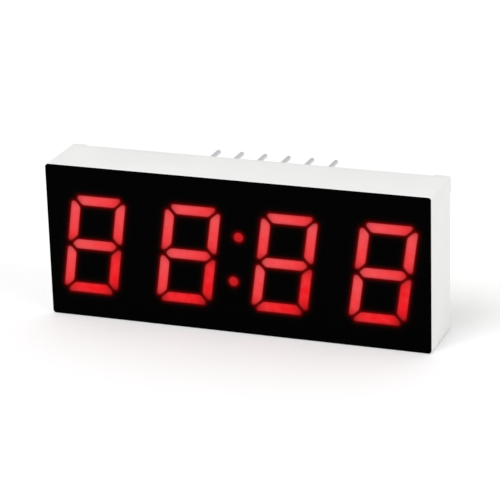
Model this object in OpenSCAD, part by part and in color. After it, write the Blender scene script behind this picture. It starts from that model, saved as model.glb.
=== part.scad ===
// Four-digit seven segment clock display.
// It stands on its long lower side, with the digits facing -Y and the pins pointing to +Y.
// The origin is the middle of the base, half way through the body's depth.

/* [Body] */
// Width of the module
body_w = 40.2; // [38.6:0.1:50]
// Height of the module
body_h = 16; // [15.9:0.1:20]
// Depth of the module from its face to the ends of its rear feet, without the pins
body_d = 7; // [6.6:0.1:10]
// Radius of the body's four long corners
body_corner_r = 0.32; // [0.2:0.01:0.7]
// Thickness of the walls around the rear recess
wall = 0.8; // [0.6:0.05:0.85]
// Corner radius of the rear recess
recess_corner_r = 0.3; // [0.1:0.05:0.5]
// Height of the corner feet on the rear rim
foot_h = 0.3; // [0.1:0.05:0.5]
// Length of each corner foot along the rim
foot_w = 1.6; // [1:0.1:3]

/* [Face mask] */
// Thickness of the black mask
mask_t = 0.2; // [0.1:0.05:0.3]
// How far the mask's edge stays inside the body's edge
mask_inset = 0.05; // [0.02:0.01:0.2]
// How far the lit faces lie behind the mask's front
lit_face_recess = 0.04; // [0.01:0.01:0.08]

/* [Digits] */
// Height of a digit
digit_h = 10.3; // [9:0.1:11]
// Width of a digit, measured level
digit_w = 5.8; // [5:0.1:6.2]
// Distance between the centres of neighbouring digits
digit_pitch = 10.1; // [9.4:0.05:10.6]
// How far the digits' common centre lies to the right of the face's centre
digit_shift = 0.12; // [-0.3:0.01:0.3]
// How far the digits' common centre lies below the face's centre
digit_drop = 0.2; // [-0.3:0.01:0.3]
// Slant of the digits from upright, in degrees
slant = 8; // [0:1:12]
// Width of a segment's stroke
stroke = 0.97; // [0.76:0.01:1.12]
// Black gap between neighbouring segments, measured square to it
segment_gap = 0.32; // [0.2:0.01:0.5]
// Width of the square end that is left outside each mitre
segment_nose = 0.36; // [0.2:0.01:0.45]
// Width of the square tip at each end of the middle segment
middle_nose = 0.14; // [0.06:0.01:0.3]
// Radius of the windows' corners, less where an edge is too short for it
window_corner_r = 0.25; // [0.04:0.01:0.3]

/* [Colon] */
// Diameter of each colon dot
dot_d = 0.96; // [0.6:0.01:1.2]
// Height between the centres of the two dots
dot_spacing = 4.68; // [3.6:0.02:6]
// Diameter of each dot's cavity where it meets the board
dot_cavity_d = 1.5; // [1.4:0.05:1.8]

/* [Reflector] */
// Depth of the reflector block from behind the mask to the copper on the board
reflector_d = 4.3; // [3.5:0.1:4.5]
// How far each segment's cavity draws in at both ends, from its window to the board
cavity_draw_along = 1; // [0.4:0.05:1.05]
// How far each segment's cavity draws in on both sides, from its window to the board
cavity_draw_across = 0.1; // [0.02:0.01:0.12]
// Wall left between a core-out's mouth and the windows beside it
core_wall = 0.55; // [0.4:0.05:0.8]
// Skin left between the core-outs and the mask
core_skin = 1.2; // [0.8:0.1:2]
// Draft of the core-outs, in degrees
core_draft = 2; // [0:0.5:4]
// Corner radius of the core-outs
core_corner_r = 0.3; // [0.1:0.05:0.4]
// Diameter of the two pegs that locate the board
peg_d = 1; // [0.8:0.05:1.2]
// How far the pegs stand out behind the board
peg_stand = 0.25; // [0.1:0.05:0.4]
// Radial clearance of the pegs in the board
peg_clearance = 0.06; // [0.03:0.01:0.12]

/* [Circuit board] */
// Thickness of the board
board_t = 0.8; // [0.6:0.1:1]
// Clearance between the board's edge and the recess
board_clearance = 0.1; // [0.05:0.01:0.2]
// Thickness of the copper on both faces
copper_t = 0.05; // [0.03:0.01:0.08]
// Width of the copper pads across a segment
pad_w = 0.5; // [0.4:0.02:0.54]
// Length of the pad under each chip
chip_pad_l = 0.6; // [0.5:0.02:0.64]
// Length of the bond pad beside each chip
bond_pad_l = 0.4; // [0.3:0.02:0.44]
// Gap between a chip's pad and its bond pad
pad_gap = 0.16; // [0.1:0.01:0.2]
// Side of a light-emitting chip
chip_w = 0.3; // [0.2:0.01:0.36]
// Thickness of a light-emitting chip
chip_t = 0.2; // [0.1:0.01:0.25]

/* [Pins] */
// Number of pins in each of the two rows
pins_per_row = 6; // [4:2:6]
// Distance between neighbouring pins
pin_pitch = 2.54; // [2:0.01:2.54]
// Distance between the two rows of pins
row_spacing = 12.7; // [12:0.01:12.7]
// Diameter of a pin's free end
pin_d = 0.5; // [0.4:0.02:0.56]
// Free length of the pins behind the feet
pin_free_l = 6; // [3:0.1:12]
// Length of the taper at a pin's tip
pin_tip = 0.15; // [0.05:0.01:0.2]
// Width across the corners of a pin's fluted shank, in the board and the potting
shank_d = 0.6; // [0.56:0.01:0.72]
// Diameter of the head that holds a pin against the board's front
head_d = 1.1; // [1.02:0.02:1.2]
// Thickness of a pin's head
head_t = 0.2; // [0.1:0.01:0.3]
// Clearance around and in front of a pin's head
head_clearance = 0.15; // [0.05:0.01:0.2]
// Radial gap between a pin's shank and its hole, filled with solder
solder_gap = 0.13; // [0.1:0.01:0.15]
// Width of the copper ring around each pin hole
ring_w = 0.2; // [0.15:0.01:0.24]
// Height of the solder cone at each pin
solder_h = 0.4; // [0.2:0.05:0.6]
// Width of solder left round the shank at the top of the cone
solder_lip = 0.05; // [0.02:0.01:0.1]

/* [Potting] */
// How far the back of the potting lies below the rim
potting_drop = 0.2; // [0.05:0.05:0.4]

/* [Hidden] */
eps = 0.5;               // how far a cut runs past the face that it opens
round_fn = 48;
shank_flutes = 8;        // flats pressed on a pin's shank, which key it in the resin
corner_steps = 2;        // flats on each rounded corner of a window
digit_count = 4;

// stations through the depth, from the face to the back
y_face = -body_d / 2;
y_block = y_face + mask_t;
y_block_back = y_block + reflector_d;
y_board = y_block_back + copper_t;
y_board_back = y_board + board_t;
y_rim = body_d / 2 - foot_h;
y_potting = y_rim - potting_drop;
y_feet = body_d / 2;
z_mid = body_h / 2;
z_digits = z_mid - digit_drop;

// lines through the middles of the strokes of one upright digit
half = stroke / 2;
col = digit_w / 2 - half;
row = digit_h / 2 - half;
shoulder = half - segment_nose;                              // where the square end turns into the mitre
end_level = col - segment_gap / sqrt(2) + shoulder;          // square ends of a and d
end_outer = row - segment_gap / sqrt(2) + shoulder;          // outer ends of b, c, e and f
end_inner = segment_gap * sqrt(2) - shoulder;                // their ends beside the middle segment
middle_tip = middle_nose / 2;
middle_end = col - middle_tip;

// letter, turn about the digit's centre, centre line's distance from it, start and end along the bar
BARS = [
    ["a", 0, row, -end_level, end_level],
    ["b", -90, col, -end_outer, -end_inner],
    ["c", -90, col, end_inner, end_outer],
    ["d", 180, row, -end_level, end_level],
    ["e", 90, col, -end_outer, -end_inner],
    ["f", 90, col, end_inner, end_outer],
    ["g", 0, 0, -middle_end, middle_end]
];
MIDDLE = 6;              // the bar that is pointed at both ends

digit_x = [for (i = [0:digit_count - 1]) digit_shift + (i - (digit_count - 1) / 2) * digit_pitch];
dot_z = [dot_spacing / 2, -dot_spacing / 2];
DOT_NAMES = ["upper", "lower"];
pin_x = [for (i = [0:pins_per_row - 1]) (i - (pins_per_row - 1) / 2) * pin_pitch];
// pins are numbered along the lower row from the left, then back along the upper row
pin_at = concat(
    [for (x = pin_x) [x, z_mid - row_spacing / 2]],
    [for (i = [pins_per_row - 1:-1:0]) [pin_x[i], z_mid + row_spacing / 2]]
);
peg_at = [for (side = [-1, 1]) [digit_shift + side * digit_pitch, z_digits]];

recess_w = body_w - 2 * wall;
recess_h = body_h - 2 * wall;
board_w = recess_w - 2 * board_clearance;
board_h = recess_h - 2 * board_clearance;
shank_r = shank_d / 2;
pin_hole_r = shank_r + solder_gap;
ring_r = pin_hole_r + ring_w;
solder_top_r = shank_r + solder_lip;
pad_run = chip_pad_l + pad_gap + bond_pad_l;

// ---- outlines ----

// a point turned about the origin, anticlockwise
function turned(p, angle) = [
    p[0] * cos(angle) - p[1] * sin(angle),
    p[0] * sin(angle) + p[1] * cos(angle)
];

// a point of an upright figure, leaned by the slant and carried to its place on the face
function on_face(p, x) = [x + p[0] + p[1] * tan(slant), z_digits + p[1]];

// one bar of a digit as seen from the front, clockwise, drawn in at its ends and sides
function bar_outline(k, along, across) =
    k == MIDDLE ? middle_outline(along, across) : mitred_outline(BARS[k], along, across);

function mitred_outline(bar, along, across) =
    let (
        outer = half - across,
        inner = across - half,
        start = bar[3] + along,
        end = bar[4] - along,
        mitre = shoulder - inner,
        flat = [
            [start, outer], [end, outer], [end, shoulder],
            [end - mitre, inner], [start + mitre, inner], [start, shoulder]
        ]
    )
    [for (p = flat) turned([p[0], p[1] + bar[2]], bar[1])];

function middle_outline(along, across) =
    let (
        side = half - across,
        end = middle_end - along,
        neck = end - (side - middle_tip)
    )
    [
        [-end, middle_tip], [-neck, side], [neck, side], [end, middle_tip],
        [end, -middle_tip], [neck, -side], [-neck, -side], [-end, -middle_tip]
    ];

// a convex outline with each corner cut to an arc of the radius, as far as its edges have room
function rounded(points, r) =
    let (n = len(points))
    [for (i = [0:n - 1])
        let (
            before = points[(i + n - 1) % n] - points[i],
            after = points[(i + 1) % n] - points[i],
            a = before / norm(before),
            b = after / norm(after),
            half_angle = acos(a * b) / 2,
            reach = min(r / tan(half_angle), 0.45 * norm(before), 0.45 * norm(after)),
            centre = points[i] + (a + b) / norm(a + b) * reach / cos(half_angle),
            from = points[i] + a * reach - centre,
            sweep = (90 - half_angle) * 2
        )
        for (step = [0:corner_steps])
            centre + turned(from, -sweep * step / corner_steps)
    ];

// the window of bar k at x, drawn in by the cavity's share of its taper
function window(k, x, share) =
    [for (p = rounded(bar_outline(k, cavity_draw_along * share, cavity_draw_across * share), window_corner_r))
        on_face(p, x)];

// a leaning four-sided figure about a point of the face, clockwise from its upper left corner
function leaning(x, v, w, h) =
    [for (p = rounded([[-w, h] / 2, [w, h] / 2, [w, -h] / 2, [-w, -h] / 2], core_corner_r))
        on_face([p[0], p[1] + v], x)];

// the middle of a bar, and its direction as an angle on the face
function bar_middle(k) = turned([(BARS[k][3] + BARS[k][4]) / 2, BARS[k][2]], BARS[k][1]);
function bar_angle(k) = BARS[k][1] == 0 || BARS[k][1] == 180 ? 0 : 90 - slant;

// ---- helpers ----

// carries what is drawn on the face, as x and z, from one depth to another
module slab(y_from, y_to) {
    translate([0, y_to, 0])
        rotate([90, 0, 0])
            linear_extrude(height = y_to - y_from)
                children();
}

// a rod along the depth at a point of the face, with a radius at each end
module rod(at, y_from, y_to, r_from, r_to) {
    translate([at[0], y_from, at[1]])
        rotate([-90, 0, 0])
            cylinder(h = y_to - y_from, r1 = r_from, r2 = r_to, $fn = round_fn);
}

// the fluted part of a pin
module shank(at, y_from, y_to) {
    translate([at[0], y_from, at[1]])
        rotate([-90, 0, 0])
            cylinder(h = y_to - y_from, r = shank_r, $fn = shank_flutes);
}

// a solid through outlines of the same number of points, each given as [depth, points]
module loft(rings) {
    n = len(rings[0][1]);
    last = len(rings) - 1;
    sides = [
        for (k = [0:last - 1], i = [0:n - 1])
            let (j = (i + 1) % n)
            [k * n + j, k * n + i, (k + 1) * n + i, (k + 1) * n + j]
    ];
    polyhedron(
        points = [for (ring = rings, p = ring[1]) [p[0], ring[0], p[1]]],
        faces = concat(
            [[for (i = [0:n - 1]) i]],
            sides,
            [[for (i = [n - 1:-1:0]) last * n + i]]
        )
    );
}

module rounded_rect(w, h, r) {
    square([w - 2 * r, h], center = true);
    square([w, h - 2 * r], center = true);
    for (x = [-1, 1], z = [-1, 1])
        translate([x * (w / 2 - r), z * (h / 2 - r)])
            circle(r = r, $fn = round_fn);
}

module body_outline() {
    translate([0, z_mid])
        rounded_rect(body_w, body_h, body_corner_r);
}

module recess_outline() {
    translate([0, z_mid])
        rounded_rect(recess_w, recess_h, recess_corner_r);
}

module board_outline() {
    translate([0, z_mid])
        rounded_rect(board_w, board_h, recess_corner_r);
}

// the room behind one window: straight through the mask, then tapered back to the board
module bar_room(k, x, y_from, y_to) {
    loft([
        [y_from, window(k, x, 0)],
        [y_block, window(k, x, 0)],
        [y_board, window(k, x, 1)],
        if (y_to > y_board) [y_to, window(k, x, 1)]
    ]);
}

module dot_room(v, y_from, y_to) {
    at = on_face([0, v], digit_shift);
    rod(at, y_from, y_block, dot_d / 2, dot_d / 2);
    rod(at, y_block, y_board, dot_d / 2, dot_cavity_d / 2);
    if (y_to > y_board)
        rod(at, y_board, y_to, dot_cavity_d / 2, dot_cavity_d / 2);
}

// a blind pocket from the back of the block, narrower towards the front by its draft
module core_out(x, v, w, h) {
    depth = reflector_d - core_skin;
    narrow = 2 * depth * tan(core_draft);
    loft([
        [y_block + core_skin, leaning(x, v, w - narrow, h - narrow)],
        [y_block_back, leaning(x, v, w, h)],
        [y_block_back + eps, leaning(x, v, w, h)]
    ]);
}

// pockets inside the two loops of a digit, between neighbouring digits and between the colon dots
module core_outs() {
    loop_w = digit_w - 2 * (stroke + core_wall);
    loop_h = row - stroke - 2 * core_wall;
    aisle_w = digit_pitch - digit_w - 2 * core_wall;
    aisle_h = row - peg_d / 2 - 2 * core_wall;
    colon_h = dot_spacing - dot_cavity_d - 2 * core_wall;
    for (x = digit_x, v = [-row / 2, row / 2])
        core_out(x, v, loop_w, loop_h);
    for (peg = peg_at, side = [-1, 1])
        core_out(peg[0], side * (row + peg_d / 2) / 2, aisle_w, aisle_h);
    core_out(digit_shift, 0, aisle_w, colon_h);
}

// pads and chip of one light source, laid out along a line on the face
module pad_pair(at, angle) {
    translate([at[0], y_board - copper_t, at[1]])
        rotate([0, -angle, 0]) {
            translate([-pad_run / 2, 0, -pad_w / 2])
                cube([chip_pad_l, copper_t, pad_w]);
            translate([pad_run / 2 - bond_pad_l, 0, -pad_w / 2])
                cube([bond_pad_l, copper_t, pad_w]);
        }
}

module chip(at, angle) {
    translate([at[0], y_board - copper_t - chip_t, at[1]])
        rotate([0, -angle, 0])
            translate([(chip_pad_l - chip_w - pad_run) / 2, 0, -chip_w / 2])
                cube([chip_w, chip_t, chip_w]);
}

// solder round a pin: a sleeve in the board's hole and a cone on the copper ring
module solder(at) {
    pad_back = y_board_back + copper_t;
    difference() {
        union() {
            rod(at, y_board, pad_back, pin_hole_r, pin_hole_r);
            rod(at, pad_back, pad_back + solder_h, ring_r, solder_top_r);
        }
        shank(at, y_board - eps, pad_back + solder_h + eps);
    }
}

// ---- sub-parts ----

// white moulding: reflector block in front, walls and feet behind
module housing() {
    color([0.95, 0.95, 0.93])
        difference() {
            union() {
                slab(y_block, y_rim) body_outline();
                slab(y_rim, y_feet) feet_outline();
            }
            difference() {
                slab(y_block_back, y_rim + eps) recess_outline();
                for (at = peg_at)
                    rod(at, y_block_back, y_board_back + peg_stand, peg_d / 2, peg_d / 2);
            }
            for (x = digit_x, k = [0:len(BARS) - 1])
                bar_room(k, x, y_block - eps, y_board + eps);
            for (v = dot_z)
                dot_room(v, y_block - eps, y_board + eps);
            core_outs();
            for (at = pin_at)
                rod(at, y_board - head_t - head_clearance, y_board + eps,
                    head_d / 2 + head_clearance, head_d / 2 + head_clearance);
        }
}

module feet_outline() {
    difference() {
        intersection() {
            body_outline();
            for (x = [-1, 1], z = [-1, 1])
                translate([x * body_w / 2, z_mid + z * body_h / 2])
                    square(2 * foot_w, center = true);
        }
        recess_outline();
    }
}

// black mask over the whole front, with a window for each lit area
module face_mask() {
    color([0.03, 0.03, 0.03])
        slab(y_face, y_block)
            difference() {
                translate([0, z_mid])
                    rounded_rect(body_w - 2 * mask_inset, body_h - 2 * mask_inset, body_corner_r);
                for (x = digit_x, k = [0:len(BARS) - 1])
                    polygon(window(k, x, 0));
                for (v = dot_z)
                    translate(on_face([0, v], digit_shift))
                        circle(r = dot_d / 2, $fn = round_fn);
            }
}

// red diffusing epoxy cast in one segment's cavity, round its chip
module segment_light(x, k) {
    at = on_face(bar_middle(k), x);
    color([0.95, 0.15, 0.18])
        difference() {
            bar_room(k, x, y_face + lit_face_recess, y_board);
            pad_pair(at, bar_angle(k));
            chip(at, bar_angle(k));
        }
}

module dot_light(v) {
    at = on_face([0, v], digit_shift);
    color([0.85, 0.12, 0.14])
        difference() {
            dot_room(v, y_face + lit_face_recess, y_board);
            pad_pair(at, 0);
            chip(at, 0);
        }
}

module digit_chips(x) {
    color([0.75, 0.6, 0.35])
        for (k = [0:len(BARS) - 1])
            chip(on_face(bar_middle(k), x), bar_angle(k));
}

module colon_chips() {
    color([0.75, 0.6, 0.35])
        for (v = dot_z)
            chip(on_face([0, v], digit_shift), 0);
}

module circuit_board() {
    color([0.2, 0.42, 0.25])
        difference() {
            slab(y_board, y_board_back) board_outline();
            for (at = pin_at)
                rod(at, y_board - eps, y_board_back + eps, pin_hole_r, pin_hole_r);
            for (at = peg_at)
                rod(at, y_board - eps, y_board_back + eps,
                    peg_d / 2 + peg_clearance, peg_d / 2 + peg_clearance);
        }
}

// chip and bond pads on the front of the board, and a ring round each pin on its back
module copper_pads() {
    color([0.8, 0.5, 0.25]) {
        for (x = digit_x, k = [0:len(BARS) - 1])
            pad_pair(on_face(bar_middle(k), x), bar_angle(k));
        for (v = dot_z)
            pad_pair(on_face([0, v], digit_shift), 0);
        for (at = pin_at)
            difference() {
                rod(at, y_board_back, y_board_back + copper_t, ring_r, ring_r);
                rod(at, y_board_back - eps, y_board_back + eps, pin_hole_r, pin_hole_r);
            }
    }
}

module solder_joints() {
    color([0.8, 0.8, 0.82])
        for (at = pin_at)
            solder(at);
}

// resin that seals the board in, round its edge and up to just below the rim
module back_potting() {
    color([0.86, 0.84, 0.74])
        difference() {
            slab(y_board, y_potting) recess_outline();
            slab(y_board - eps, y_board_back) board_outline();
            for (at = peg_at)
                rod(at, y_board_back - eps, y_board_back + peg_stand, peg_d / 2, peg_d / 2);
            for (at = pin_at) {
                rod(at, y_board_back - eps, y_board_back + copper_t, ring_r, ring_r);
                rod(at, y_board_back + copper_t, y_board_back + copper_t + solder_h, ring_r, solder_top_r);
                shank(at, y_board_back, y_potting + eps);
            }
        }
}

// headed pin: its fluted shank ends level with the rim, where the round free end starts
module pin(at) {
    color([0.78, 0.79, 0.8]) {
        rod(at, y_board - head_t, y_board, head_d / 2, head_d / 2);
        shank(at, y_board, y_rim);
        rod(at, y_rim, y_feet + pin_free_l - pin_tip, pin_d / 2, pin_d / 2);
        rod(at, y_feet + pin_free_l - pin_tip, y_feet + pin_free_l, pin_d / 2, pin_d / 4);
    }
}

// ---- assembly ----

housing();
face_mask();
for (d = [1:digit_count], k = [0:len(BARS) - 1])
    segment_light(digit_x[d - 1], k);
for (i = [0:1])
    dot_light(dot_z[i]);
for (d = [1:digit_count])
    digit_chips(digit_x[d - 1]);
colon_chips();
circuit_board();
copper_pads();
solder_joints();
back_potting();
for (i = [1:len(pin_at)])
    pin(pin_at[i - 1]);
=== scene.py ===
import math

import bmesh
import bpy
import numpy as np
from mathutils import Matrix, Vector
from mathutils.geometry import delaunay_2d_cdt


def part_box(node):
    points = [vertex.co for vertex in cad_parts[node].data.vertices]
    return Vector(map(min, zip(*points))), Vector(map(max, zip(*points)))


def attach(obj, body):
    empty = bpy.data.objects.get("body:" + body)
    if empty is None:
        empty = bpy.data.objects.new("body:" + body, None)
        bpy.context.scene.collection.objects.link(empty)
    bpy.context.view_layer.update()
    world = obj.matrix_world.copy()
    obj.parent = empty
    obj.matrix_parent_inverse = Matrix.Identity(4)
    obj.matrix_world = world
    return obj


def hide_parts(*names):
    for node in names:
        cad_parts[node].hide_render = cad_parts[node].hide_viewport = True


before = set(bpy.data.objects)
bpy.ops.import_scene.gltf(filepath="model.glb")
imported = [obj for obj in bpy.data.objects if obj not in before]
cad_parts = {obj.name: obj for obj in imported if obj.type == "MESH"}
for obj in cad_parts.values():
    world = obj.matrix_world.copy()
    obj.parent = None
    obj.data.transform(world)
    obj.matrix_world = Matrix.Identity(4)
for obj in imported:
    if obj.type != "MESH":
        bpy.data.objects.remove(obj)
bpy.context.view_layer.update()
mm = 0.001

meshing = {
    "digits": 4,            # decimals of a millimetre that tell two CAD points apart
    "flat": 0.002,          # faces that vary less than this in depth are square to it
    "near": 0.006,          # how near to a depth its faces are looked for
    "otherDepth": 0.02,     # depths further apart than this are two
    "straight": 0.0015,     # points nearer to the line between their neighbours are left out
    "merged": 0.0008,       # points nearer to each other become one
    "sharpFrom": 35,        # degrees between faces that make an edge sharp
}


def spanOf(node):
    # lowest and highest corners of a CAD node, in millimetres
    low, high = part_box(node)
    return np.array(low) / mm, np.array(high) / mm


def cadTriangles(node):
    # distinct points of a CAD node, and its triangles as rows of three point numbers
    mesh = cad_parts[node].data
    mesh.calc_loop_triangles()
    places = np.empty(len(mesh.vertices) * 3)
    mesh.vertices.foreach_get("co", places)
    corners = np.empty(len(mesh.loop_triangles) * 3, int)
    mesh.loop_triangles.foreach_get("vertices", corners)
    rounded = np.round(places.reshape(-1, 3) / mm, meshing["digits"])
    spots, index = np.unique(rounded, axis=0, return_inverse=True)
    return spots, index.reshape(-1)[corners].reshape(-1, 3)


def levelsOf(node):
    # depths of the node's faces that are square to the depth
    spots, corners = cadTriangles(node)
    depths = spots[corners][:, :, 1]
    flat = np.ptp(depths, axis=1) < meshing["flat"]
    return np.unique(np.round(depths[flat][:, 0], 2))


def outlinesAt(node, depth):
    # closed outlines of those faces at one depth, the largest first: the edges that one triangle alone
    # uses, followed end to end
    spots, corners = cadTriangles(node)
    flat = corners[(np.abs(spots[corners][:, :, 1] - depth) < meshing["near"]).all(axis=1)]
    edges = flat[:, [0, 1, 1, 2, 2, 0]].reshape(-1, 2)
    code = edges @ [len(spots), 1]
    lone = edges[~np.isin(code, edges @ [1, len(spots)])]
    following = dict(lone.tolist())
    loops = []
    while following:
        start, spot = following.popitem()
        loop = [start]
        while spot != start:
            loop.append(spot)
            spot = following.pop(spot)
        loops.append(wound(cornersOf(spots[loop][:, [0, 2]])))
    return sorted(loops, key=lambda loop: -abs(areaOf(loop)))


def cornersOf(loop):
    # leaves out the points that lie on the straight line between their neighbours
    before, after = np.roll(loop, 1, axis=0), np.roll(loop, -1, axis=0)
    chord, off = after - before, loop - before
    across = np.abs(chord[:, 0] * off[:, 1] - chord[:, 1] * off[:, 0])
    return loop[across > meshing["straight"] * np.linalg.norm(chord, axis=1)]


def middleOf(loop):
    # halfway between an outline's lowest and highest corners
    return (loop.max(axis=0) + loop.min(axis=0)) / 2


def areaOf(loop):
    # half the sum of the cross products of neighbouring points
    x, z = loop.T
    return np.sum(x * np.roll(z, -1) - np.roll(x, -1) * z) / 2


def wound(loop):
    # anticlockwise as seen from the front, from the point that lies furthest up and a little to the right
    upRight = [0.45, 0.89]
    if areaOf(loop) < 0:
        loop = loop[::-1]
    return np.roll(loop, -int(np.argmax(loop @ upRight)), axis=0)


housingLow, housingHigh = spanOf("housing")
face, block = spanOf("face_mask")[0][1], spanOf("face_mask")[1][1]
board, boardBack = spanOf("circuit_board")[0][1], spanOf("circuit_board")[1][1]
blockBack = spanOf("copper_pads")[0][1]
resin = spanOf("back_potting")[1][1]
lightNodes = [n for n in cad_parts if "_segment_" in n or n.startswith("colon_dot_")]
pinNodes = [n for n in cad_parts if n.startswith("pin_")]
litLevel = spanOf(lightNodes[0])[0][1]
print("frame read:", len(lightNodes), "lights,", len(pinNodes), "pins")


windowLook = {
    "soft": 0.14,       # reach of the rounding that the mould gives a window's corners, in mm
    "steps": 5,         # points that the rounding is worked out at, within its reach
    "spacing": 0.22,    # distance between the points kept along a straight edge
    "turn": 20,         # degrees between the points kept round a corner
}


def dense(loops, step):
    # more points along the edges of matching outlines, the same number on each edge of all of them
    sides = np.linalg.norm(np.roll(loops[0], -1, axis=0) - loops[0], axis=1)
    parts = np.maximum(1, np.ceil(sides / step)).astype(int)
    which = np.repeat(np.arange(len(parts)), parts)
    share = (np.arange(len(which)) - np.repeat(np.cumsum(parts) - parts, parts)) / parts[which]
    return [
        loop[which] + (np.roll(loop, -1, axis=0)[which] - loop[which]) * share[:, None]
        for loop in loops
    ]


def softened(loops):
    # matching outlines with rounder corners: every point becomes the bell-shaped mean of its neighbours,
    # worked out as a damping of the outline's waves, and only the points that the shape needs are kept
    soft = windowLook["soft"]
    fine = [loop @ [1, 1j] for loop in dense(loops, soft / windowLook["steps"])]
    length = np.abs(np.roll(fine[0], -1) - fine[0]).sum()
    waves = np.fft.fftfreq(len(fine[0]), 1 / len(fine[0]))
    damping = np.exp(-2 * (math.pi * waves * soft / length) ** 2)
    smooth = [np.fft.ifft(np.fft.fft(loop) * damping) for loop in fine]
    step = np.roll(smooth[0], -1) - smooth[0]
    turn = np.degrees(np.abs(np.angle(step / np.roll(step, 1))))
    passed = np.cumsum(np.abs(step) / windowLook["spacing"] + turn / windowLook["turn"])
    keep = np.flatnonzero(np.diff(np.floor(passed), prepend=-1))
    return [np.stack([loop.real, loop.imag], axis=1)[keep] for loop in smooth]


def lightOutlines(node):
    # a light's outline at its window, and where its cavity leaves the back of the reflector block
    window, atBoard = outlinesAt(node, litLevel)[0], outlinesAt(node, board)[0]
    return softened([window, atBoard + (window - atBoard) * (board - blockBack) / (board - block)])


def ring(loop, depth):
    # an outline carried to a depth, or to a depth of its own at each point
    depth = np.broadcast_to(depth, len(loop))
    return np.stack([loop[:, 0], depth, loop[:, 1]], axis=1)


def skin(rings):
    # surface through closed rings of one length: row k, column i is point i of ring k
    grid = np.array(rings)
    rows, count = grid.shape[:2]
    first = np.arange(rows - 1)[:, None] * count + np.arange(count)
    after = np.roll(first, -1, axis=1)
    faces = np.stack([first, after, after + count, first + count], axis=-1)
    return grid.reshape(-1, 3), faces.reshape(-1, 4)


def lid(points):
    # one face across a ring
    return points, np.arange(len(points))[None]


def insideOf(points, loop):
    # a point is inside a convex outline when it lies to the left of every edge
    step = np.roll(loop, -1, axis=0) - loop
    away = points[:, None] - loop[None]
    return (step[:, 0] * away[..., 1] - step[:, 1] * away[..., 0] > 1e-9).all(axis=1)


def plate(border, holes, extra=None):
    # flat triangles between a border and its holes, through every extra point
    loops = [border, *holes]
    points = np.concatenate(loops + ([] if extra is None else [extra]))
    starts = np.cumsum([0] + [len(loop) for loop in loops]).tolist()
    outlines = [list(range(a, b)) for a, b in zip(starts[:-1], starts[1:])]
    flat = [Vector(p) for p in points.tolist()]
    spots, _, triangles, _, _, within = delaunay_2d_cdt(flat, [], outlines, 1, 1e-5, True)
    inBorder = [triangle for triangle, outline in zip(triangles, within) if outline == [0]]
    return np.array([tuple(p) for p in spots]), np.array(inBorder)


def pushedOut(loop, distance):
    # each point moved along the mean of its two edges' outward directions
    step = np.roll(loop, -1, axis=0) - loop
    step /= np.linalg.norm(step, axis=1)[:, None]
    out = np.stack([step[:, 1], -step[:, 0]], axis=1)
    both = out + np.roll(out, 1, axis=0)
    both /= np.linalg.norm(both, axis=1)[:, None]
    return loop + both * distance / np.sum(both * out, axis=1)[:, None]


def distanceTo(points, loop):
    # distance of each point from the nearest place on an outline
    step = np.roll(loop, -1, axis=0) - loop
    away = points[:, None] - loop[None]
    share = np.clip((away * step).sum(-1) / (step ** 2).sum(-1), 0, 1)
    return np.linalg.norm(away - share[..., None] * step, axis=2).min(axis=1)


def distanceToPins(points, pins):
    # distance of each point from the nearest pin's line
    return np.min([np.linalg.norm(points - pin, axis=1) for pin in pins], axis=0)


def turnedProfile(profile, x, z, count):
    # a profile of radius and depth carried round a line that runs along the depth
    turn = np.linspace(0, 2 * math.pi, count, endpoint=False)
    circle = np.stack([np.cos(turn), np.sin(turn)], axis=1)
    return skin([ring([x, z] + radius * circle, depth) for radius, depth in profile])


def makePiece(name, patches, finish, replaced, marks=None):
    # joins patches of points and faces into one closed mesh, merged and facing outwards
    points, faces, base = [], [], 0
    for spots, polygons in patches:
        points.append(spots)
        faces += (polygons + base).tolist()
        base += len(spots)
    mesh = bpy.data.meshes.new(name)
    mesh.from_pydata((np.concatenate(points) * mm).tolist(), [], faces)
    for mark, values in (marks or {}).items():
        mesh.attributes.new(mark, "FLOAT", "POINT").data.foreach_set("value", np.asarray(values, float))
    bm = bmesh.new()
    bm.from_mesh(mesh)
    bmesh.ops.remove_doubles(bm, verts=bm.verts, dist=meshing["merged"] * mm)
    bmesh.ops.dissolve_degenerate(bm, edges=bm.edges, dist=1e-9)
    bmesh.ops.recalc_face_normals(bm, faces=bm.faces)
    if bm.calc_volume(signed=True) < 0:
        bmesh.ops.reverse_faces(bm, faces=bm.faces)
    loose = sum(not edge.is_manifold for edge in bm.edges)
    bm.to_mesh(mesh)
    bm.free()
    mesh.polygons.foreach_set("use_smooth", np.ones(len(mesh.polygons), bool))
    mesh.set_sharp_from_angle(angle=math.radians(meshing["sharpFrom"]))
    mesh.materials.append(finish)
    piece = bpy.data.objects.new(name, mesh)
    bpy.context.scene.collection.objects.link(piece)
    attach(piece, "root")
    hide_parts(*replaced)
    if loose:
        print(name, "has", loose, "open edges")
    return piece


def newFinish(name, values):
    # a material of one shader, with plain values on its own sockets
    finish = bpy.data.materials.new(name)
    finish.use_nodes = True
    shader = finish.node_tree.nodes["Principled BSDF"]
    for socket, value in values.items():
        shader.inputs[socket].default_value = value
    return finish, shader


def add(shader, kind, inputs, **settings):
    # a node beside the shader: its settings, then a link or a plain value for each of its sockets
    node = shader.id_data.nodes.new("ShaderNode" + kind)
    for key, value in settings.items():
        setattr(node, key, value)
    for key, value in inputs.items():
        if isinstance(value, bpy.types.NodeSocket):
            shader.id_data.links.new(value, node.inputs[key])
        else:
            node.inputs[key].default_value = value
    return node


def linkTo(shader, socket, output):
    # from a node's output to one of the shader's own sockets
    shader.id_data.links.new(output, shader.inputs[socket])


def objectPlace(shader):
    # where a point lies on its object, in metres
    return add(shader, "TexCoord", {}).outputs["Object"]


def markOn(shader, mark):
    # a value stored at the mesh's points
    return add(shader, "Attribute", {}, attribute_name=mark).outputs["Fac"]


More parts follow.
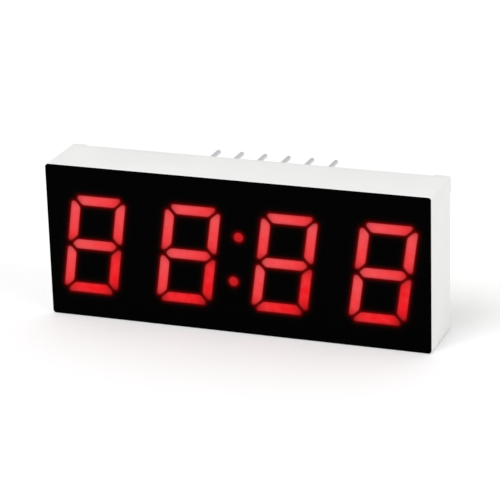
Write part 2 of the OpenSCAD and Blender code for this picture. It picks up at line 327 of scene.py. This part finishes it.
def grain(shader, place, size, detail=3.0):
    # noise whose blotches are about this many millimetres across
    noise = add(shader, "TexNoise", {"Vector": place, "Scale": 1 / (size * mm), "Detail": detail})
    return noise.outputs["Fac"]


def between(shader, share, low, high):
    # a number that runs from low to high as the share goes from 0.3 to 0.7
    spread = {"From Min": 0.3, "From Max": 0.7, "To Min": low, "To Max": high}
    return add(shader, "MapRange", {"Value": share, **spread}).outputs["Result"]


def mixed(shader, share, one, other):
    # a colour that goes from one to the other as the share goes from 0 to 1
    ends = [value if isinstance(value, bpy.types.NodeSocket) else (*value, 1) for value in (one, other)]
    return add(shader, "Mix", {0: share, 6: ends[0], 7: ends[1]}, data_type="RGBA").outputs[2]


def bumpFrom(shader, height, depth):
    # the shader's normal, tilted by a height of this many millimetres
    bump = add(shader, "Bump", {"Height": height, "Distance": depth * mm, "Strength": 1.0})
    linkTo(shader, "Normal", bump.outputs["Normal"])


body = {
    "width": housingHigh[0] - housingLow[0],
    "height": housingHigh[2] - housingLow[2],
    "middle": (housingHigh[2] + housingLow[2]) / 2,
    "cornerRadius": 0.32,
    "leastRadius": 0.02,
    "cornerSteps": 9,
    "longStops": 24,            # points along a long side between the feet
    "shortStops": 10,           # and along a short one
    "wall": 0.8,
    "recessRadius": 0.3,
    "footHeight": 0.3,
    "footWidth": 1.6,
    "footRamp": 0.12,
    "footReach": 1.0,           # how far before the rim the walls begin to follow the feet
    "edgeRound": 0.12,          # soft edges that the mould leaves
    "edgeTurns": (0, 30, 60, 90),   # degrees round such an edge that get points
    "underResin": 0.3,          # how far under the resin's surface the inner wall is plain again
    "largestHollow": 40,        # an outline of more square mm than this is the body's own
    "ownPlace": 0.5,            # a hollow whose middle is this far from every cavity's is another hollow
    "greyer": (0.726, 0.723, 0.712),
    "whiter": (0.756, 0.754, 0.743),
}
rim = housingHigh[1] - body["footHeight"]


def bodyLoop(inset):
    # the body's rounded outline drawn in by a distance: a corner and a side, turned by quarters of a
    # circle, and the sides have points where the feet end
    w, h = body["width"] - 2 * inset, body["height"] - 2 * inset
    if inset > body["wall"] / 2:
        r = body["recessRadius"] + body["wall"] - inset
    else:
        r = max(body["cornerRadius"] - inset, body["leastRadius"])
    turn = np.radians(np.linspace(0, 90, body["cornerSteps"]))
    parts = []
    for quarter, (c, s) in enumerate([(1, 0), (0, 1), (-1, 0), (0, -1)]):
        level = quarter % 2 == 0
        a, b = (w / 2, h / 2) if level else (h / 2, w / 2)
        foot = (body["width"] if level else body["height"]) / 2 - body["footWidth"]
        plain = foot - body["footRamp"]
        inner = np.linspace(plain, -plain, body["longStops"] if level else body["shortStops"])
        stops = np.concatenate([[foot], inner, [-foot]])
        corner = np.stack([a - r + r * np.cos(turn), b - r + r * np.sin(turn)], axis=1)
        side = np.stack([stops, np.full(len(stops), b)], axis=1)
        parts.append(np.concatenate([corner, side]) @ [[c, s], [-s, c]])
    return np.concatenate(parts) + [0, body["middle"]]


def footShare(loop):
    # 1 where an outline passes a foot, 0 elsewhere
    reach = np.array([body["width"], body["height"]]) / 2 - body["footWidth"] - 1e-6
    return (np.abs(loop - [0, body["middle"]]) >= reach).all(axis=1).astype(float)


def bodyRing(inset, depth, onFeet=False):
    # the drawn-in outline at a depth, and further back by a foot's height where it passes a foot
    loop = bodyLoop(inset)
    return ring(loop, depth + (body["footHeight"] * footShare(loop) if onFeet else 0))


def mouldedWhite():
    # white moulded plastic, with a faint cloud in its colour and a fine moulded grain
    finish, shader = newFinish("mouldedWhite", {"Roughness": 0.46, "IOR": 1.53})
    place = objectPlace(shader)
    cloud = between(shader, grain(shader, place, 5.0), 0, 1)
    linkTo(shader, "Base Color", mixed(shader, cloud, body["greyer"], body["whiter"]))
    linkTo(shader, "Roughness", between(shader, grain(shader, place, 0.8), 0.40, 0.54))
    bumpFrom(shader, grain(shader, place, 0.09, 4.0), 0.004)
    return finish


def buildHousing():
    # the body's outline goes back along the outside with quarter-round edges, over the rim and its feet, and
    # forwards along the inside to the reflector block, whose two plates are joined by the cavities
    e, wall = body["edgeRound"], body["wall"]
    arc = np.radians(body["edgeTurns"])
    rings = [bodyRing(e * (1 - math.sin(t)), block + e * (1 - math.cos(t))) for t in arc]
    rings += [bodyRing(0, rim - body["footReach"])]
    rings += [bodyRing(e * (1 - math.cos(t)), rim - e * (1 - math.sin(t)), True) for t in arc]
    rings += [bodyRing(wall - e * (1 - math.sin(t)), rim - e * (1 - math.cos(t)), True) for t in arc]
    rings += [bodyRing(wall, resin - body["underResin"]), bodyRing(wall, blockBack)]
    patches = [skin(rings)]
    windows, cavities = zip(*[lightOutlines(node) for node in lightNodes])
    patches += [skin([ring(w, block), ring(c, blockBack)]) for w, c in zip(windows, cavities)]
    front, triangles = plate(bodyLoop(e), windows)
    patches.append((ring(front, block), triangles))

    # core-outs, pockets for the pins' heads, and pegs: each goes on from the back of the block to the
    # outline that lies straight before or behind it, and is closed there
    mouths = [
        loop for loop in outlinesAt("housing", blockBack)[1:]
        if min(np.abs(middleOf(loop) - middleOf(c)).max() for c in cavities) > body["ownPlace"]
    ]
    depths = [
        depth for depth in levelsOf("housing")
        if min(abs(depth - blockBack), abs(depth - block)) > meshing["otherDepth"]
    ]
    ends = [
        (depth, loop) for depth in depths for loop in outlinesAt("housing", depth)
        if areaOf(loop) < body["largestHollow"]
    ]
    for mouth in mouths:
        depth, end = min(ends, key=lambda pair: np.linalg.norm(middleOf(pair[1]) - middleOf(mouth)))
        patches += [skin([ring(mouth, blockBack), ring(end, depth)]), lid(ring(end, depth))]
    back, triangles = plate(bodyLoop(wall), [*cavities, *mouths])
    patches.append((ring(back, blockBack), triangles))
    return makePiece("mouldedHousing", patches, mouldedWhite(), ["housing"])


maskLook = {
    "inset": 0.05,
    "edgeRound": 0.05,
    "edgeTurns": (0, 45, 90),
    "black": (0.0003, 0.0003, 0.0003),
    "worn": (0.0006, 0.0005, 0.0005),
    # colour of the painted glow that the film gives off round the windows
    "paintedGlowColour": (0.345, 0.001, 0.002),
    "spread": 0.085,            # how fast the seam of light fades, in mm
    "tail": 0.09,               # a fainter part of it that reaches further
    "tailSpread": 0.18,
    "unlit": 9.0,               # a distance that no light reaches, for the film's outer edge
    "rings": (0.04, 0.09, 0.15, 0.22, 0.32, 0.46, 0.65, 0.9, 1.3),  # distances from a window with points
    "ringSlack": 0.004,         # how much nearer to another window such a point may be
    "clearOfEdge": 0.3,
}


def blackFilm():
    # black face film: light that spreads inside it shows as a dark red seam round each window, a painted
    # glow that the film gives off itself
    values = {"Roughness": 0.55, "Specular IOR Level": 0.008, "Emission Strength": 1.0}
    finish, shader = newFinish("blackFilm", values)
    place = objectPlace(shader)
    wear = grain(shader, place, 1.5)
    linkTo(shader, "Base Color", mixed(shader, wear, maskLook["black"], maskLook["worn"]))
    linkTo(shader, "Roughness", between(shader, grain(shader, place, 0.3), 0.48, 0.62))
    perMm = math.exp(-1 / maskLook["spread"])
    fade = add(shader, "Math", {0: perMm, 1: markOn(shader, "glowDistance")}, operation="POWER").outputs[0]
    # painted glow: the film gives off dark red light that fades with the distance from the windows
    linkTo(shader, "Emission Color", mixed(shader, fade, (0, 0, 0), maskLook["paintedGlowColour"]))
    bumpFrom(shader, grain(shader, place, 0.06, 2.0), 0.002)
    return finish


def buildMask():
    # a plate with a window for each light and a quarter-round front edge; each point of the front is
    # marked with the distance from one window at which the light would be what all the windows together
    # give it, the sum of a fast and a slow exponential fall from each
    inset, e = maskLook["inset"], maskLook["edgeRound"]
    windows = [lightOutlines(node)[0] for node in lightNodes]
    extra = []
    for distance in maskLook["rings"]:
        points = np.concatenate([pushedOut(w, distance) for w in windows])
        nearest = np.min([distanceTo(points, w) for w in windows], axis=0)
        points = points[nearest > distance - maskLook["ringSlack"]]
        extra.append(points[insideOf(points, bodyLoop(inset + maskLook["clearOfEdge"]))])
    front, triangles = plate(bodyLoop(inset + e), windows, np.concatenate(extra))
    apart = np.array([distanceTo(front, w) for w in windows])
    spread, tailSpread = maskLook["spread"], maskLook["tailSpread"]
    glow = (np.exp(-apart / spread) + maskLook["tail"] * np.exp(-apart / tailSpread)).sum(axis=0)
    # how far into the painted glow each point lies, for the film's emission
    glowDistance = -spread * np.log(glow + 1e-12)    # finite where no light reaches
    arc = np.radians(maskLook["edgeTurns"])
    rings = [bodyRing(inset + e * (1 - math.sin(t)), face + e * (1 - math.cos(t))) for t in arc]
    rings += [bodyRing(inset, block), bodyRing(inset + e, block)]
    edge = skin(rings)
    walls = [skin([ring(w, face), ring(w, block)]) for w in windows]
    patches = [(ring(front, face), triangles), (ring(front, block), triangles[:, ::-1]), edge, *walls]
    glowDistances = [glowDistance, glowDistance, np.full(len(edge[0]), maskLook["unlit"])] + [np.zeros(len(w[0])) for w in walls]
    marks = {"glowDistance": np.concatenate(glowDistances)}
    return makePiece("faceMask", patches, blackFilm(), ["face_mask"], marks)


lightLook = {
    # pale: the red glow with a painted reflection of the studio on it; deep: the glow without it
    "pale": (0.86, 0.083, 0.093),
    "deep": (0.85, 0.001, 0.007),
    "rimShare": (0.5, 0.8, 0.8),    # what is left of the light at a window's edge
    "rimHaze": (0, 0.01, 0.01),     # and what is added there
    "cloud": 0.12,
    "paleSet": {
        # share of the painted reflection at a segment's near end
        "paintedReflection": 0.975,
        "fall": 0.67,               # share of the painted reflection that is lost towards the far end
        "tipLoss": 0.42,            # share of the light that is lost at a segment's tips
        "tipReach": 0.5,            # how fast it comes back away from a tip, in mm
    },
    "deepSet": {"paintedReflection": 0.2, "fall": 1.1, "tipLoss": 0.58, "tipReach": 0.62},
    "deepSetSegments": "cd",           # segments with less painted reflection and more light lost at the tips
    "pointLoss": 0.34,              # the loss for the middle segment, which is pointed at both ends
    "tipSkew": 0.08,                # how much more is lost at the far tip than at the near one
    "tipPower": 1.5,                # power of the distance from a tip in that loss
    "farWay": (0.6, -0.8),          # a segment's far end is the one that lies more this way
    "dotReflection": 0.02,               # the painted reflection and the light of the two round dots
    "dotLevel": 0.64,
    "lip": 0.012,                   # how far the epoxy climbs the window's edge
    "dish": 0.02,                   # and how far its middle sinks
    # rings over the lit face: share of the way in to the middle line, share of the dish's depth, and how
    # far the light is up from the rim's
    "faceRings": (
        (0.06, 0, 0.14), (0.19, 0.5, 0.43), (0.36, 0.9, 0.76),
        (0.54, 1, 0.93), (0.78, 1, 1), (0.96, 1, 1),
    ),
}


def litEpoxy():
    # red diffusing epoxy, lit from behind: paler where a painted reflection of the studio lies on it, most
    # at the end of each segment that lies up and to the left, and duller at its window's edge
    values = {"Roughness": 0.4, "Specular IOR Level": 0.08, "Emission Strength": 1.0}
    finish, shader = newFinish("litEpoxy", values)
    place = objectPlace(shader)
    cloud = between(shader, grain(shader, place, 0.7, 2.0), -lightLook["cloud"], lightLook["cloud"])
    # share of the painted reflection at each point, with a cloud in it
    reflected = add(shader, "Math", {0: markOn(shader, "paintedReflection"), 1: cloud}, operation="ADD", use_clamp=True)
    glow = mixed(shader, reflected.outputs[0], lightLook["deep"], lightLook["pale"])
    dull = {0: glow, 1: lightLook["rimShare"], 2: lightLook["rimHaze"]}
    rimGlow = add(shader, "VectorMath", dull, operation="MULTIPLY_ADD").outputs[0]
    emitted = mixed(shader, markOn(shader, "inward"), rimGlow, glow)
    speck = between(shader, grain(shader, place, 0.12, 2.0), 0.94, 1.0)
    share = add(shader, "Math", {0: markOn(shader, "level"), 1: speck}, operation="MULTIPLY").outputs[0]
    scaled = add(shader, "VectorMath", {0: emitted, "Scale": share}, operation="SCALE").outputs[0]
    linkTo(shader, "Emission Color", scaled)
    tint = mixed(shader, grain(shader, place, 0.3), (0.05, 0.002, 0.002), (0.08, 0.004, 0.004))
    linkTo(shader, "Base Color", tint)
    bumpFrom(shader, grain(shader, place, 0.15, 2.0), 0.002)
    return finish


def buildLight(node, finish):
    # the cast of a cavity: its outline goes from the back to the window, and then inwards over the dished
    # face to a middle line that runs along the longer way of the outline, to half a width from each end
    front, atBack = lightOutlines(node)
    isDot = node.startswith("colon")
    middle = middleOf(front)
    spread = front - middle
    _, _, axes = np.linalg.svd(spread, full_matrices=False)
    axis = axes[0] * (1 if axes[0] @ lightLook["farWay"] > 0 else -1)
    half = np.abs(spread @ axis).max()
    width = 0 if isDot else np.abs(spread @ axes[1]).max()
    reach = 0 if isDot else half - width
    spine = middle + np.clip(spread @ axis, -reach, reach)[:, None] * axis
    faceRings = lightLook["faceRings"]
    rings = [ring(atBack, blockBack), ring(front, block), ring(front, litLevel - lightLook["lip"])]
    rings += [
        ring(front + (spine - front) * share, litLevel + lightLook["dish"] * drop)
        for share, drop, _ in faceRings
    ]
    patches = [skin(rings), lid(rings[0]), lid(rings[-1])]

    # the painted reflection falls evenly from the near end to the far one, and the light is less near the
    # tips, where the cavity is narrow, by an exponential of the distance from the tip
    where = np.concatenate([points for points, _ in patches])[:, [0, 2]]
    along = (where - middle) @ axis / half
    if isDot:
        reflectionShares = np.full(len(along), lightLook["dotReflection"])
        levels = np.full(len(along), lightLook["dotLevel"])
    else:
        segmentSet = lightLook["deepSet" if node[-1] in lightLook["deepSetSegments"] else "paleSet"]
        loss = lightLook["pointLoss"] if node[-1] == "g" else segmentSet["tipLoss"]
        toTip = np.clip(half * (1 - np.abs(along)), 0, None) / segmentSet["tipReach"]
        # painted reflection: most at the near end, falling towards the far one
        reflectionShares = segmentSet["paintedReflection"] * (1 - segmentSet["fall"] * (along + 1) / 2)
        skewed = loss * (1 + lightLook["tipSkew"] * along)
        levels = 1 - skewed * np.exp(-toTip ** lightLook["tipPower"])
    inward = np.repeat([0, 0, 0] + [up for _, _, up in faceRings] + [0, 1], len(front))
    marks = {"paintedReflection": reflectionShares, "inward": inward, "level": levels}
    return makePiece("lit_" + node, patches, finish, [node], marks)


resinLook = {
    "cream": (0.66, 0.62, 0.47),
    "paleCream": (0.74, 0.71, 0.57),
    "stain": (0.42, 0.41, 0.34),    # grey flux stain round each pin
    "stainFade": 0.25,              # how fast it fades away from the pin
    "sunk": 0.03,                   # how far the flat part lies under the CAD's surface
    "creep": 0.11,                  # how far it climbs the walls and the pins
    "fade": 0.28,                   # how fast that climb fades away from them
    "ripple": 0.02,                 # height of the low waves between them
    "calm": 0.8,                    # how far from walls and pins the ripple is still held down
    "pinRadius": 0.27,
    "pinSteps": 20,
    "pinRings": (0.08, 0.2, 0.38, 0.65),    # distances from a pin and from the wall that get points
    "wallRings": (0.08, 0.2, 0.4, 0.7),
    "grid": 0.9,
    "gridFromWall": 1.0,
    "gridFromPin": 1.3,
    "clearOfWall": 0.05,
}


def castResin():
    # cream casting resin, cloudy, glossy in patches, and stained near the pins
    values = {"Roughness": 0.2, "IOR": 1.55, "Coat Weight": 0.3, "Coat Roughness": 0.12}
    finish, shader = newFinish("castResin", values)
    place = objectPlace(shader)
    cloud = between(shader, grain(shader, place, 3.0, 4.0), 0, 1)
    cream = mixed(shader, cloud, resinLook["cream"], resinLook["paleCream"])
    linkTo(shader, "Base Color", mixed(shader, markOn(shader, "nearPin"), cream, resinLook["stain"]))
    linkTo(shader, "Roughness", between(shader, grain(shader, place, 1.2), 0.16, 0.3))
    bumpFrom(shader, grain(shader, place, 0.5, 2.0), 0.004)
    return finish


def buildResin(pins):
    # a cast between the walls, with a hole for each pin: its surface climbs by an exponential of the
    # distance from the nearest wall or pin, and between them it has a low ripple of sines both ways
    border = bodyLoop(body["wall"])
    turn = np.linspace(0, 2 * math.pi, resinLook["pinSteps"], endpoint=False)
    circle = np.stack([np.cos(turn), np.sin(turn)], axis=1)
    holes = [pin + circle * resinLook["pinRadius"] for pin in pins]
    extra = [pushedOut(hole, d) for hole in holes for d in resinLook["pinRings"]]
    extra += [bodyLoop(body["wall"] + d) for d in resinLook["wallRings"]]
    x = np.arange(-body["width"] / 2, body["width"] / 2, resinLook["grid"])
    z = np.arange(0, body["height"], resinLook["grid"])
    grid = np.stack(np.meshgrid(x, z), axis=-1).reshape(-1, 2)
    fromWall = insideOf(grid, bodyLoop(body["wall"] + resinLook["gridFromWall"]))
    extra.append(grid[fromWall & (distanceToPins(grid, pins) > resinLook["gridFromPin"])])
    extra = np.concatenate(extra)
    extra = extra[insideOf(extra, bodyLoop(body["wall"] + resinLook["clearOfWall"]))]
    spots, triangles = plate(border, holes, extra)
    toWall = distanceTo(spots, border)
    toPin = distanceToPins(spots, pins) - resinLook["pinRadius"]
    fade = resinLook["fade"]
    climb = resinLook["creep"] * np.maximum(np.exp(-toWall / fade), np.exp(-toPin / fade))
    x, z = spots.T
    ripple = np.sin(x * 0.41 + 0.6) * np.cos(z * 0.53) + 0.5 * np.sin(x * 1.1 + z * 0.9)
    held = 1 - np.exp(-np.minimum(toWall, toPin) / resinLook["calm"])
    top = resin - resinLook["sunk"] + climb + resinLook["ripple"] * ripple * held

    def heightAt(loop):
        # the surface's depth at the point nearest to each point of an outline
        nearest = np.linalg.norm(spots[None] - loop[:, None], axis=2).argmin(axis=1)
        return top[nearest]

    sides = [skin([ring(loop, boardBack), ring(loop, heightAt(loop))]) for loop in [border, *holes]]
    patches = [(ring(spots, top), triangles), (ring(spots, boardBack), triangles[:, ::-1]), *sides]
    stain = np.exp(-toPin / resinLook["stainFade"])
    nearPin = np.concatenate([stain, stain] + [np.zeros(len(points)) for points, _ in sides])
    return makePiece("castBack", patches, castResin(), ["back_potting"], {"nearPin": nearPin})


pinLook = {
    "radius": 0.25,
    "shank": 0.27,
    "head": 0.52,
    "headBevel": 0.04,
    "shankEdge": (0.02, 0.01),      # depth and width of the step where the shank ends
    "shoulder": 0.05,
    "taper": 0.15,
    "taperTurns": (20, 45, 70, 90),
    "flatShare": 0.45,              # share of the radius that the flat at the tip has
    "count": 28,
    "light": (0.76, 0.76, 0.77),
    "dark": (0.66, 0.66, 0.68),
    "roughness": 0.37,
}


def tinned(name, light, dark, roughness):
    # plated or soldered metal with faint marks along the pins
    finish, shader = newFinish(name, {"Metallic": 1.0, "Roughness": roughness})
    place = objectPlace(shader)
    drawn = add(shader, "Mapping", {"Vector": place, "Scale": (1, 0.05, 1)}).outputs[0]
    streak = grain(shader, drawn, 0.25, 1.0)
    linkTo(shader, "Base Color", mixed(shader, between(shader, streak, 0, 1), dark, light))
    polish = between(shader, grain(shader, place, 1.2, 1.0), roughness - 0.03, roughness + 0.05)
    linkTo(shader, "Roughness", polish)
    bumpFrom(shader, streak, 0.0008)
    return finish


def buildPin(node, finish):
    # a profile of radius and depth carried round the pin: head, shank in the resin, shoulder, wire, and
    # an end that is rounded off by a quarter of an ellipse down to a flat
    low, high = spanOf(node)
    x, z = (low[0] + high[0]) / 2, (low[2] + high[2]) / 2
    r, shank, head, end = pinLook["radius"], pinLook["shank"], pinLook["head"], high[1]
    bevel, tip, flat = pinLook["headBevel"], pinLook["taper"], pinLook["flatShare"]
    edgeDepth, edgeWidth = pinLook["shankEdge"]
    profile = [(0, low[1]), (head - bevel, low[1]), (head, low[1] + bevel), (head, board), (shank, board)]
    profile += [(shank, rim - edgeDepth), (shank - edgeWidth, rim), (r, rim + pinLook["shoulder"])]
    profile += [(r, end - tip)]
    turn = np.radians(pinLook["taperTurns"])
    profile += [(r * (flat + (1 - flat) * math.cos(t)), end - tip * (1 - math.sin(t))) for t in turn]
    profile += [(0, end)]
    surface = turnedProfile(profile, x, z, pinLook["count"])
    return makePiece("tinned_" + node, [surface], finish, [node])


insideLook = {
    "laminate": ((0.02, 0.10, 0.035), (0.035, 0.155, 0.055)),
    "thread": 1.6,
    "crystal": ((0.42, 0.30, 0.12), (0.62, 0.47, 0.22)),
    "copper": ((0.86, 0.50, 0.28), (0.66, 0.33, 0.17), 0.34),    # light, dark and roughness
    "solder": ((0.74, 0.74, 0.75), (0.50, 0.50, 0.52), 0.3),
}


def boardLaminate():
    # green glass cloth laminate, with its threads as two crossed waves
    finish, shader = newFinish("boardLaminate", {"Roughness": 0.42, "IOR": 1.5})
    place = objectPlace(shader)
    threads = {"Vector": place, "Scale": 1 / (insideLook["thread"] * mm), "Distortion": 0.6}
    weave, cross = [add(shader, "TexWave", threads, bands_direction=way).outputs["Fac"] for way in "XZ"]
    cloth = add(shader, "Math", {0: weave, 1: cross}, operation="MAXIMUM").outputs[0]
    linkTo(shader, "Base Color", mixed(shader, cloth, *insideLook["laminate"]))
    linkTo(shader, "Roughness", between(shader, grain(shader, place, 0.5), 0.36, 0.5))
    bumpFrom(shader, cloth, 0.006)
    return finish


def chipSemiconductor():
    # dull golden crystal of the light chips
    finish, shader = newFinish("chipSemiconductor", {"Metallic": 0.35, "Roughness": 0.3})
    place = objectPlace(shader)
    linkTo(shader, "Base Color", mixed(shader, grain(shader, place, 0.1), *insideLook["crystal"]))
    bumpFrom(shader, grain(shader, place, 0.04), 0.002)
    return finish


buildHousing()
print("housing built")
buildMask()
print("face mask built")
lit = litEpoxy()
for node in lightNodes:
    buildLight(node, lit)
print("lights built")
pinPlaces = [((spanOf(n)[0] + spanOf(n)[1]) / 2)[[0, 2]] for n in pinNodes]
buildResin(np.array(pinPlaces))
pinTin = tinned("pinTin", pinLook["light"], pinLook["dark"], pinLook["roughness"])
for node in pinNodes:
    buildPin(node, pinTin)
print("resin and pins built")

# finishes for the CAD nodes that stay
kept = {
    "circuit_board": boardLaminate(),
    "copper_pads": tinned("padCopper", *insideLook["copper"]),
    "solder_joints": tinned("solderTin", *insideLook["solder"]),
}
chipFinish = chipSemiconductor()
kept.update({n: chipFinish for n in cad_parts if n.endswith("_chips")})
for node, finish in kept.items():
    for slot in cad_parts[node].material_slots:
        slot.material = finish
print("finishes set on", len(kept), "kept nodes")


studio = {
    "floorReach": 3.0,
    "paper": (0.93, 0.93, 0.93),
    "palePaper": (0.95, 0.95, 0.95),
    "world": 0.75,
    "lampSize": 0.6,
    "keyPower": 4.1,
    "keyPlace": (-0.25, -0.55, 0.85),
    "fillPower": 1.8,
    "fillPlace": (0.7, -0.25, 0.45),
    "aim": (0, 0, 0.008),
    "lens": 182.175,
    "sensor": 36.0,
    "clip": (0.01, 20.0),
    "cameraPlace": (0.0841, -0.221644, 0.094223),
    "right": (0.938605, 0.343838, -0.028229),         # the way that the view's right side lies
    "forward": (-0.332145, 0.878491, -0.343415),      # and the way that the camera looks
}


def buildFloor():
    # one square of pale paper under the part
    r = studio["floorReach"]
    mesh = bpy.data.meshes.new("studioFloor")
    mesh.from_pydata([(-r, -r, 0), (r, -r, 0), (r, r, 0), (-r, r, 0)], [], [(0, 1, 2, 3)])
    finish, shader = newFinish("studioPaper", {"Roughness": 0.9, "Specular IOR Level": 0.1})
    cloud = grain(shader, objectPlace(shader), 60.0)
    linkTo(shader, "Base Color", mixed(shader, cloud, studio["paper"], studio["palePaper"]))
    mesh.materials.append(finish)
    floor = bpy.data.objects.new("studioFloor", mesh)
    bpy.context.scene.collection.objects.link(floor)


def addLamp(name, place, power):
    # a round soft lamp that points at the part
    data = bpy.data.lights.new(name, "AREA")
    data.shape, data.size, data.energy = "DISK", studio["lampSize"], power
    lamp = bpy.data.objects.new(name, data)
    lamp.location = place
    lamp.rotation_euler = (Vector(studio["aim"]) - Vector(place)).to_track_quat("-Z", "Y").to_euler()
    bpy.context.scene.collection.objects.link(lamp)


def addCamera():
    # looks along the forward way, with its right way kept square to it
    data = bpy.data.cameras.new("camera")
    data.lens, data.sensor_width = studio["lens"], studio["sensor"]
    data.clip_start, data.clip_end = studio["clip"]
    right, forward = Vector(studio["right"]).normalized(), Vector(studio["forward"]).normalized()
    up = right.cross(forward).normalized()
    right = forward.cross(up)
    camera = bpy.data.objects.new("camera", data)
    turn = Matrix((right, up, -forward)).transposed().to_4x4()
    camera.matrix_world = Matrix.Translation(studio["cameraPlace"]) @ turn
    bpy.context.scene.collection.objects.link(camera)
    bpy.context.scene.camera = camera


buildFloor()
world = bpy.data.worlds.new("studio")
bpy.context.scene.world = world
world.use_nodes = True
world.node_tree.nodes["Background"].inputs["Color"].default_value = (1, 1, 1, 1)
world.node_tree.nodes["Background"].inputs["Strength"].default_value = studio["world"]
addLamp("key", studio["keyPlace"], studio["keyPower"])
addLamp("fill", studio["fillPlace"], studio["fillPower"])
addCamera()
bpy.context.scene.view_settings.view_transform = "Standard"
print("studio set")
